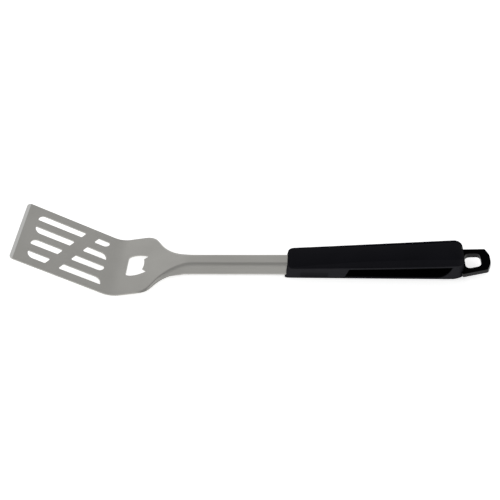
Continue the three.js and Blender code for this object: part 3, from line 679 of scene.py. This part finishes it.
def channel_slot(clearance, start, end):
    """The channel's own material with a clearance on both faces."""
    half = half_section(MOUTH_DISTANCE + end)
    heading = half[-1][2]

    def offset(away):
        row = [(y + away * math.sin(h), z + away * math.cos(h)) for y, z, h in half]
        y, z = row[-1]
        row.append((y + clearance * math.cos(heading), z - clearance * math.sin(heading)))
        return row

    outer = offset(clearance)
    inner = offset(-SHEET - clearance)
    ring = [(-y, z) for y, z in reversed(inner)] + inner
    ring += outer[::-1] + [(-y, z) for y, z in outer]
    return channel_run(ring, start, end)


def window_tool(margin):
    """The window opening: slanted at the front and swept up at the back."""
    low = WINDOW_SILL + margin
    last = WINDOW_END - margin
    first = WINDOW_START_TOP + margin

    def high(place):
        return parting_height(place) - WINDOW_RIM - margin

    outline = [(WINDOW_START + margin, low), (WINDOW_END - WINDOW_END_RUN, low)]
    pull = (WINDOW_END - WINDOW_SWEEP[0] - margin, low + WINDOW_SWEEP[1])
    outline += bezier([outline[-1], pull, (last, high(WINDOW_END))], 14)
    steps = 14
    for k in range(1, steps + 1):
        place = lerp(last, first, k / steps)
        outline.append((place, high(place)))
    outline = [(HANDLE_MOUTH + x, y) for x, y in outline]
    return prism(outline, UPRIGHT, CUT_DEPTH, CUT_DEPTH)


def loop_plane():
    """The plane of the loop's top face, with its zero at the handle's back end."""
    return plane(HANDLE_MOUTH + HANDLE_LENGTH, SHAFT_TOP + LOOP_TOP, LOOP_SLOPE)


def loop_outline(shrink=0.0):
    """Square shoulders against the handle, tapered sides and a bowed tip, all drawn in by the shrink."""
    half = [(place - HANDLE_LENGTH, y, r) for place, y, r in LOOP_CORNERS]
    corners = [(x, -y, r) for x, y, r in half] + half[::-1]
    outline = rounded_outline(corners)
    if shrink == 0:
        return outline
    count = len(outline)
    moved = []
    for i, (x, y) in enumerate(outline):
        ahead = Vector(outline[(i + 1) % count])
        behind = Vector(outline[i - 1])
        heading = (ahead - behind).normalized()
        moved.append((x - heading.y * shrink, y + heading.x * shrink))
    return moved


def loop_hole():
    """The tool that cuts the loop's hole, a rounded rectangle that narrows towards the tip."""
    hole = LOOP_HOLE
    front = hole["start"] - HANDLE_LENGTH
    back = hole["end"] - HANDLE_LENGTH
    r = hole["corner"]
    outline = rounded_outline([
        (front, -hole["half"], r),
        (back, -hole["tip_half"], r),
        (back, hole["tip_half"], r),
        (front, hole["half"], r),
    ])
    return prism(outline, loop_plane(), CUT_DEPTH, CUT_DEPTH)


def loop_plate():
    """The loop's plate, its lower edges rounded by a quarter circle and its top edges crisp."""
    steps = 6
    rings = []
    matrix = loop_plane()
    for k in range(steps + 1):
        angle = k / steps * math.pi / 2
        shrink = LOOP_EDGE_ROUND * (1 - math.sin(angle))
        depth = LOOP_THICKNESS - LOOP_EDGE_ROUND * (1 - math.cos(angle))
        outline = loop_outline(shrink)
        rings.append([matrix @ Vector((x, y, -depth)) for x, y in outline])
    rings.append([matrix @ Vector((x, y, 0)) for x, y in loop_outline()])
    return loft("loop", rings)


def loop_neck(margin):
    """The tongue that ties the loop to the core through the back wall of the lower shell."""
    half = LOOP_NECK["half"] + margin
    front = LOOP_NECK["start"] - HANDLE_LENGTH
    back = LOOP_NECK["end"] - HANDLE_LENGTH
    r = LOOP_NECK["corner"]
    outline = rounded_outline([(front, -half, r), (back, -half, r), (back, half, r), (front, half, r)])
    return prism(outline, loop_plane(), LOOP_THICKNESS - GAP + margin, margin - GAP)


def upper_boss_low(place):
    """Lowest point of the boss that a shell screw bites into."""
    over_tang = place < TANG_LENGTH + UPPER_BOSS_RADIUS
    return SHAFT_TOP + 3 * GAP if over_tang else parting_height(place) - UPPER_BOSS_DEPTH


def handle_core():
    """The hard inner frame: a block round the tang, panels in the windows, and the hang loop."""
    block = keep_inside(handle_body(SHELL_WALL + GAP, True), half_space(-1, GAP))
    block = cut(block, channel_plug(GAP, -TRIM_END, TRIM_END + GAP))
    panels = keep_inside(handle_body(PANEL_RECESS), window_tool(GAP))
    loop = cut(loop_plate(), handle_body(-GAP))
    loop = cut(join(loop, loop_neck(0)), loop_hole())
    tools = [channel_slot(GAP, TRIM_END, TANG_LENGTH + GAP)]
    for place in RIVET_PLACES.values():
        x = HANDLE_MOUTH + place
        tools.append(post(x, RIVET_SHANK + GAP, 0, SHAFT_TOP))
        tools.append(post(x, RIVET_HEAD + GAP, SHAFT_TOP - SHEET / 2, ABOVE_ALL))
        tools.append(post(x, RIVET_HEAD + GAP, 0, RIVET_LOW + RIVET_HEAD_HEIGHT))
    for place in SCREW_PLACES.values():
        x = HANDLE_MOUTH + place
        tools.append(post(x, SCREW_SHANK + GAP, 0, ABOVE_ALL))
        tools.append(post(x, LOWER_BOSS_RADIUS + GAP, 0, LOWER_BOSS_HEIGHT + GAP))
        tools.append(post(x, UPPER_BOSS_RADIUS + GAP, upper_boss_low(place) - GAP, ABOVE_ALL))
    return soften(cut(join(block, panels, loop), *tools), EDGE_SOFTNESS["core"])


def grip_upper():
    """The upper shell: the top face and both bevels, with a boss for each screw."""
    hollow = keep_inside(handle_body(SHELL_WALL), half_space(1, GAP / 2 - CUT_OVERLAP))
    shell = cut(keep_inside(handle_body(0), half_space(1, GAP / 2)), hollow)
    bosses = []
    pilots = []
    for place in SCREW_PLACES.values():
        x = HANDLE_MOUTH + place
        low = upper_boss_low(place)
        bosses.append(post(x, UPPER_BOSS_RADIUS, low, top_height(place) - BOSS_ROOF))
        pilot_low = low - CUT_OVERLAP
        pilots.append(post(x, SCREW_SHANK + GAP, pilot_low, top_height(place) - PILOT_ROOF))
    return soften(cut(join(shell, *bosses), *pilots), EDGE_SOFTNESS["shell"])


def plate_recess():
    """A blank, shallow recess on the near side, where a name plate would be."""
    low, high = PLATE_HEIGHTS
    first, last = (HANDLE_MOUTH + place for place in PLATE_SPAN)
    r = PLATE_CORNER
    outline = rounded_outline([(first, low, r), (last, low, r), (last, high, r), (first, high, r)])
    near_side = prism(outline, UPRIGHT, 0, CUT_DEPTH)
    return cut(near_side, handle_body(PLATE_DEPTH))


def in_plate(place):
    """Whether a place lies in the name-plate recess, seen from the near side."""
    in_span = PLATE_SPAN[0] - GAP < place.x - HANDLE_MOUTH < PLATE_SPAN[1] + GAP
    return in_span and PLATE_HEIGHTS[0] - GAP < place.z < PLATE_HEIGHTS[1] + GAP


def grip_lower():
    """The lower shell: side walls with their windows, the underside and its screw wells."""
    shell = keep_inside(handle_body(0), half_space(-1, GAP / 2))
    shell = cut(shell, handle_body(SHELL_WALL, True))
    bosses = []
    wells = []
    for place in SCREW_PLACES.values():
        x = HANDLE_MOUTH + place
        bosses.append(post(x, LOWER_BOSS_RADIUS, SHELL_WALL / 2, LOWER_BOSS_HEIGHT))
        wells.append(post(x, SCREW_HEAD + GAP, BELOW_ALL, SCREW_WELL))
        wells.append(post(x, SCREW_SHANK + GAP, BELOW_ALL, ABOVE_ALL))
    mouth = channel_plug(GAP, -TRIM_END, TRIM_END + GAP)
    openings = [window_tool(0), mouth, loop_neck(GAP), plate_recess(), *wells]
    return soften(cut(join(shell, *bosses), *openings), EDGE_SOFTNESS["shell"])


# ---- Fasteners --------------------------------------------------------------------------------------


def tang_rivet(place):
    """A rivet with a flat head at each end, through the tang and the core."""
    x = HANDLE_MOUTH + place
    head_low = SHAFT_TOP + math.tan(SHAFT_SLOPE) * place + GAP
    head_high = head_low + RIVET_HEAD_HEIGHT
    shank = post(x, RIVET_SHANK, RIVET_LOW, head_high)
    upper_head = post(x, RIVET_HEAD, head_low, head_high)
    lower_head = post(x, RIVET_HEAD, RIVET_LOW, RIVET_LOW + RIVET_HEAD_HEIGHT)
    return soften(join(shank, upper_head, lower_head), EDGE_SOFTNESS["rivet"], segments=3)


def shell_screw(place):
    """A screw driven up from the underside, with a cross recess in its head."""
    x = HANDLE_MOUTH + place
    seat = SCREW_WELL - GAP
    face = seat - SCREW_HEAD_HEIGHT
    head = post(x, SCREW_HEAD, face, seat)
    shank = post(x, SCREW_SHANK, seat - GAP, top_height(place) - SCREW_TIP_ROOF)
    half_length = CROSS_LENGTH / 2
    half_width = CROSS_WIDTH / 2
    bar = [
        (-half_length, -half_width),
        (half_length, -half_width),
        (half_length, half_width),
        (-half_length, half_width),
    ]
    cross = []
    for turn in (0, math.pi / 2):
        matrix = Matrix.Translation((x, 0, face)) @ Matrix.Rotation(turn, 4, "Z")
        cross.append(prism(bar, matrix, CROSS_DEPTH, CROSS_DEPTH))
    return soften(cut(join(head, shank), *cross), EDGE_SOFTNESS["screw"], segments=3)


# ---- Materials --------------------------------------------------------------------------------------


NOISE_RANGE = (0.3, 0.7)  # the values that most of a noise texture lies between
MATT_FADE = (0.34, 0.6)  # how far a matt coat is turned away where its sheen starts and ends to fade


class Graph:
    """A material's nodes, built with short calls."""

    def __init__(self, name):
        self.material = bpy.data.materials.new(name)
        self.material.use_nodes = True
        self.tree = self.material.node_tree
        self.shader = self.tree.nodes["Principled BSDF"]
        self.place = self.tree.nodes.new("ShaderNodeTexCoord").outputs["Object"]

    def feed(self, socket, value):
        if isinstance(value, bpy.types.NodeSocket):
            self.tree.links.new(value, socket)
        else:
            socket.default_value = value

    def stretched(self, x, y, z):
        """The object's own place, scaled so that one unit is 1/x, 1/y and 1/z of a metre."""
        node = self.tree.nodes.new("ShaderNodeMapping")
        node.inputs["Scale"].default_value = (x, y, z)
        self.tree.links.new(self.place, node.inputs["Vector"])
        return node.outputs["Vector"]

    def noise(self, vector, scale=1.0, detail=3.0, roughness=0.5):
        """A fractal noise from about 0.3 to 0.7."""
        node = self.tree.nodes.new("ShaderNodeTexNoise")
        self.feed(node.inputs["Vector"], vector)
        node.inputs["Scale"].default_value = scale
        node.inputs["Detail"].default_value = detail
        node.inputs["Roughness"].default_value = roughness
        return node.outputs["Fac"]

    def cells(self, vector, scale):
        """The distance to the nearest of many scattered points, for small pits."""
        node = self.tree.nodes.new("ShaderNodeTexVoronoi")
        self.feed(node.inputs["Vector"], vector)
        node.inputs["Scale"].default_value = scale
        return node.outputs["Distance"]

    def spread(self, value, low, high, from_low=NOISE_RANGE[0], from_high=NOISE_RANGE[1]):
        """A value moved from one range, at first that of a noise, to another."""
        node = self.tree.nodes.new("ShaderNodeMapRange")
        self.feed(node.inputs["Value"], value)
        node.inputs["From Min"].default_value = from_low
        node.inputs["From Max"].default_value = from_high
        node.inputs["To Min"].default_value = low
        node.inputs["To Max"].default_value = high
        return node.outputs["Result"]

    def colours(self, value, dark, light):
        """A ramp between two colours over the range of a noise."""
        node = self.tree.nodes.new("ShaderNodeValToRGB")
        for element, position, colour in zip(node.color_ramp.elements, NOISE_RANGE, (dark, light)):
            element.position = position
            element.color = (*colour, 1)
        self.feed(node.inputs["Fac"], value)
        return node.outputs["Color"]

    def matt_edge(self, level):
        """The specular level of a matt coat, which fades out where the surface turns away."""
        weight = self.tree.nodes.new("ShaderNodeLayerWeight")
        return self.spread(weight.outputs["Facing"], level, 0.0, *MATT_FADE)

    def bump(self, height, strength, distance, under=None):
        """A fine relief, its distance in millimetres, added to the one under it if there is one."""
        node = self.tree.nodes.new("ShaderNodeBump")
        node.inputs["Strength"].default_value = strength
        node.inputs["Distance"].default_value = distance * MM
        self.feed(node.inputs["Height"], height)
        if under is not None:
            self.feed(node.inputs["Normal"], under)
        return node.outputs["Normal"]

    def set(self, **inputs):
        """Feeds the shader's inputs, named with _ for a space, and gives the finished material."""
        for name, value in inputs.items():
            self.feed(self.shader.inputs[name.replace("_", " ")], value)
        return self.material


def steel_material():
    """Satin stainless: a fine grain along the tool, a little warmer where it is duller."""
    g = Graph("satin_steel")
    grain = g.noise(g.stretched(30, 2600, 2600), detail=4, roughness=0.65)
    cloud = g.noise(g.stretched(25, 40, 40), detail=2)
    colour = g.colours(cloud, (0.405, 0.398, 0.376), (0.435, 0.428, 0.405))
    return g.set(
        Base_Color=colour,
        Metallic=0.9,
        Roughness=g.spread(grain, 0.36, 0.48),
        Normal=g.bump(grain, 0.12, 0.02),
    )


def ground_steel_painted_highlight_material():
    """The ground bevel of the front edge: a brighter colour as a painted highlight, with the grain
    across the blade.
    """
    g = Graph("ground_steel_painted_highlight")
    grain = g.noise(g.stretched(3200, 60, 3200), detail=4, roughness=0.6)
    colour = g.colours(grain, (0.62, 0.62, 0.605), (0.7, 0.7, 0.685))
    return g.set(
        Base_Color=colour,
        Metallic=0.9,
        Roughness=g.spread(grain, 0.36, 0.48),
        Normal=g.bump(grain, 0.15, 0.02),
    )


def grip_material(name, dark, light, sheen):
    """Soft-touch black plastic with a fine spark-eroded texture; the sheen is its specular level."""
    g = Graph(name)
    pits = g.cells(g.place, 2600)
    fine = g.noise(g.place, 1500, detail=2)
    cloud = g.noise(g.place, 35, detail=2)
    colour = g.colours(cloud, dark, light)
    return g.set(
        Base_Color=colour,
        Roughness=g.spread(fine, 0.36, 0.46),
        Specular_IOR_Level=g.matt_edge(sheen),
        Specular_Tint=(0.93, 0.93, 1.0, 1.0),
        Normal=g.bump(fine, 0.15, 0.03, under=g.bump(pits, 0.2, 0.04)),
    )


def hard_black_material(name, sheen):
    """Smooth hard plastic, nearly black, with a faint moulding ripple."""
    g = Graph(name)
    ripple = g.noise(g.place, 220, detail=2)
    cloud = g.noise(g.place, 60, detail=2)
    colour = g.colours(cloud, (0.0003, 0.0003, 0.0004), (0.0006, 0.0006, 0.0008))
    return g.set(
        Base_Color=colour,
        Roughness=g.spread(ripple, 0.26, 0.34),
        Specular_IOR_Level=sheen,
        Normal=g.bump(ripple, 0.05, 0.05),
    )


def window_material():
    """The core under the shells, and its panels in the side windows: a dull black."""
    g = Graph("window_black")
    grain = g.noise(g.place, 700, detail=2)
    colour = g.colours(grain, (0.0001, 0.0001, 0.0001), (0.0003, 0.0003, 0.0003))
    return g.set(
        Base_Color=colour,
        Roughness=g.spread(grain, 0.5, 0.6),
        Specular_IOR_Level=0.0,
        Normal=g.bump(grain, 0.1, 0.03),
    )


def zinc_material():
    """Plated fasteners with a slightly mottled skin."""
    g = Graph("zinc_steel")
    mottle = g.noise(g.place, 900, detail=3)
    colour = g.colours(mottle, (0.5, 0.51, 0.53), (0.62, 0.63, 0.64))
    return g.set(
        Base_Color=colour,
        Metallic=1.0,
        Roughness=g.spread(mottle, 0.28, 0.42),
        Normal=g.bump(mottle, 0.1, 0.03),
    )


# ---- The assembly -----------------------------------------------------------------------------------


def place_piece(obj, name, node, slot_name, *materials):
    """Names a finished piece, gives it its materials and lets it stand for its CAD node."""
    obj.name = name
    obj.data.name = name
    obj.data.materials.clear()
    for material in materials:
        obj.data.materials.append(material)
    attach(obj, "root")
    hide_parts(node)
    return obj


def give(obj, index, wanted):
    """Gives the faces that are wanted the material at an index of the piece's list."""
    for face in obj.data.polygons:
        if wanted(face):
            face.material_index = index


# Shares of a face's normal along an axis, by which faces are told apart
GROUND_UP = 0.9  # upwards: between the blade's own top face and the ground edge, which is more level
BEVEL_SIDE = (0.2, 0.7)  # sideways: between the handle's top face and its side walls
HALF_TURNED = 0.5  # more than this and a face is counted as facing along the axis

GRIND_PLANE = sheet_plane(0).inverted()


def on_ground_edge(face):
    centre = GRIND_PLANE @ (face.center / MM)
    return centre.x < GRIND_LENGTH and face.normal.z > GROUND_UP


def on_core_wall(face):
    return abs(face.normal.z) < HALF_TURNED


def ahead_of_window_end(face):
    return face.center.x / MM < HANDLE_MOUTH + WINDOW_END + GAP


def on_top_bevel(face):
    leans = BEVEL_SIDE[0] < abs(face.normal.y) < BEVEL_SIDE[1]
    return leans and face.normal.z > HALF_TURNED


def on_plate(face):
    corners = [face.id_data.vertices[index].co / MM for index in face.vertices]
    return face.normal.y < -HALF_TURNED and all(in_plate(corner) for corner in corners)


STEEL = steel_material()
GROUND_PAINTED_HIGHLIGHT = ground_steel_painted_highlight_material()
# Both shells are one black plastic: the upper shell's black is darkened as painted shade on its top
# face, and the lower shell's black is lightened as painted light on its side walls.
TOP_BLACK_PAINTED_SHADE = ((0.0044, 0.0044, 0.0062), (0.0056, 0.0056, 0.0078))
SIDE_BLACK_PAINTED_LIGHT = ((0.01, 0.01, 0.0124), (0.0122, 0.0122, 0.015))
# The name-plate recess floor: the lower shell's painted light, in a darker black than the side walls.
PLATE_BLACK_PAINTED_LIGHT = ((0.0066, 0.0066, 0.0084), (0.008, 0.008, 0.01))
GRIP_UPPER_PAINTED_SHADE = grip_material("soft_touch_upper_painted_shade", *TOP_BLACK_PAINTED_SHADE, sheen=0.03)
# The bevels take a copy of the top's material with a higher sheen: a painted sheen, given by face
# direction.
GRIP_BEVEL_PAINTED_SHADE_AND_SHEEN = grip_material("soft_touch_bevel_painted_shade_and_sheen", *TOP_BLACK_PAINTED_SHADE, sheen=0.1)
GRIP_LOWER_PAINTED_LIGHT = grip_material("soft_touch_lower_painted_light", *SIDE_BLACK_PAINTED_LIGHT, sheen=0.045)
PLATE = grip_material("plate_recess", *PLATE_BLACK_PAINTED_LIGHT, sheen=0.04)
# Two copies of one hard black: upright walls get a higher sheen as painted sheen, the other faces a
# lower one as painted shade.
HARD_PAINTED_SHADE = hard_black_material("hard_black", sheen=0.01)
HARD_WALL_PAINTED_SHEEN = hard_black_material("hard_black_wall_painted_sheen", sheen=0.24)
WINDOW = window_material()
ZINC = zinc_material()

blade = place_piece(turner_sheet(), "sheet_fine", "turner_sheet", "steel", STEEL, GROUND_PAINTED_HIGHLIGHT)
# The ground edge's faces take the brighter steel, a painted highlight.
give(blade, 1, on_ground_edge)

core = place_piece(handle_core(), "core_fine", "handle_core", "hard_black", HARD_PAINTED_SHADE, HARD_WALL_PAINTED_SHEEN, WINDOW)
# Upright faces take the copy with the painted sheen.
give(core, 1, on_core_wall)
give(core, 2, ahead_of_window_end)

upper = place_piece(grip_upper(), "grip_upper_fine", "grip_upper", "grip_black", GRIP_UPPER_PAINTED_SHADE, GRIP_BEVEL_PAINTED_SHADE_AND_SHEEN)
# Faces that lean sideways take the copy with the painted sheen.
give(upper, 1, on_top_bevel)

lower = place_piece(grip_lower(), "grip_lower_fine", "grip_lower", "grip_black", GRIP_LOWER_PAINTED_LIGHT, PLATE)
give(lower, 1, on_plate)

for node, at in RIVET_PLACES.items():
    place_piece(tang_rivet(at), node + "_fine", node, "zinc_steel", ZINC)
for node, at in SCREW_PLACES.items():
    place_piece(shell_screw(at), node + "_fine", node, "zinc_steel", ZINC)


# ---- Stage: floor, lights and camera ----------------------------------------------------------------


FLOOR_GLOW = 0.62  # a light table: it keeps the contact shadows faint


def floor_material():
    g = Graph("pale_floor")
    cloud = g.noise(g.place, 6, detail=2)
    colour = g.colours(cloud, (0.93, 0.93, 0.93), (0.95, 0.95, 0.95))
    return g.set(
        Base_Color=colour,
        Roughness=0.9,
        Specular_IOR_Level=0.1,
        Emission_Color=(1.0, 1.0, 1.0, 1.0),
        Emission_Strength=FLOOR_GLOW,
    )


FLOOR_HALF = 6000
FLOOR_DROP = 0.02  # keeps the floor clear of the faces that rest on it


def make_floor():
    half = FLOOR_HALF
    verts = [(-half, -half, 0), (half, -half, 0), (half, half, 0), (-half, half, 0)]
    floor = new_object("floor", verts, [(0, 1, 2, 3)])
    floor.data.materials.append(floor_material())
    floor.location.z = -FLOOR_DROP * MM


LAMPS = {"left": (-1.7, -0.5, 1.5), "right": (1.7, -0.5, 1.5)}  # places, in metres
LAMP_SIDE = 1.2  # metres
LAMP_POWER = 6  # watts


def make_lamp(name, place):
    """A square area light that points at the origin."""
    data = bpy.data.lights.new(name, "AREA")
    data.shape = "RECTANGLE"
    data.size = LAMP_SIDE
    data.size_y = LAMP_SIDE
    data.energy = LAMP_POWER
    lamp = bpy.data.objects.new(name, data)
    lamp.location = place
    lamp.rotation_euler = (-Vector(place)).to_track_quat("-Z", "Y").to_euler()
    bpy.context.scene.collection.objects.link(lamp)


# Brightness of the studio dome by direction: from before the tool to behind it, then from -X to +X
DOME_DEPTH = ((-1.0, 0.54), (-0.85, 0.6), (-0.4, 0.33), (0.25, 0.35), (0.66, 0.77), (1.0, 0.8))
DOME_WIDTH = ((-0.6, 1.25), (0.2, 1.0), (0.8, 1.0))


def brightness(tree, value, stops):
    """Brightness over a direction that runs from -1 to 1, eased between its stops."""
    share = tree.nodes.new("ShaderNodeMapRange")
    tree.links.new(value, share.inputs["Value"])
    share.inputs["From Min"].default_value = -1
    share.inputs["From Max"].default_value = 1
    ramp = tree.nodes.new("ShaderNodeValToRGB")
    elements = ramp.color_ramp.elements
    ramp.color_ramp.interpolation = "EASE"
    while len(elements) < len(stops):
        elements.new(0.5)
    for element, (place, level) in zip(elements, stops):
        element.position = (place + 1) / 2
        element.color = (level, level, level, 1)
    tree.links.new(share.outputs["Result"], ramp.inputs["Fac"])
    return ramp.outputs["Color"]


def make_world():
    """A soft studio dome: dim overhead, paler before the tool and palest behind it."""
    world = bpy.data.worlds.new("studio")
    bpy.context.scene.world = world
    world.use_nodes = True
    tree = world.node_tree
    axes = tree.nodes.new("ShaderNodeSeparateXYZ")
    direction = tree.nodes.new("ShaderNodeTexCoord").outputs["Generated"]
    tree.links.new(direction, axes.inputs["Vector"])
    product = tree.nodes.new("ShaderNodeMath")
    product.operation = "MULTIPLY"
    tree.links.new(brightness(tree, axes.outputs["Y"], DOME_DEPTH), product.inputs[0])
    tree.links.new(brightness(tree, axes.outputs["X"], DOME_WIDTH), product.inputs[1])
    background = tree.nodes["Background"]
    tree.links.new(product.outputs["Value"], background.inputs["Strength"])
    background.inputs["Color"].default_value = (1, 1, 1, 1)


CAMERA_PLACE = Vector((65.49, -556.90, 616.63)) * MM
CAMERA_AZIMUTH = 7.069 * DEGREE
CAMERA_ELEVATION = 46.404 * DEGREE
CAMERA_ROLL = -4.942 * DEGREE
CAMERA_LENS = 59.04
CAMERA_SENSOR = 36
CAMERA_CLIP = (0.01, 100)  # metres


def make_camera():
    """The camera, turned about the vertical, then tilted down, then rolled."""
    data = bpy.data.cameras.new("camera")
    data.lens = CAMERA_LENS
    data.sensor_width = CAMERA_SENSOR
    data.clip_start, data.clip_end = CAMERA_CLIP
    camera = bpy.data.objects.new("camera", data)
    turn = Matrix.Rotation(CAMERA_AZIMUTH, 4, "Z")
    tilt = Matrix.Rotation(math.pi / 2 - CAMERA_ELEVATION, 4, "X")
    roll = Matrix.Rotation(CAMERA_ROLL, 4, "Z")
    camera.matrix_world = Matrix.Translation(CAMERA_PLACE) @ turn @ tilt @ roll
    bpy.context.scene.collection.objects.link(camera)
    bpy.context.scene.camera = camera


make_floor()
make_world()
for lamp_name, lamp_place in LAMPS.items():
    make_lamp(lamp_name, lamp_place)
make_camera()
bpy.context.scene.view_settings.view_transform = "Standard"
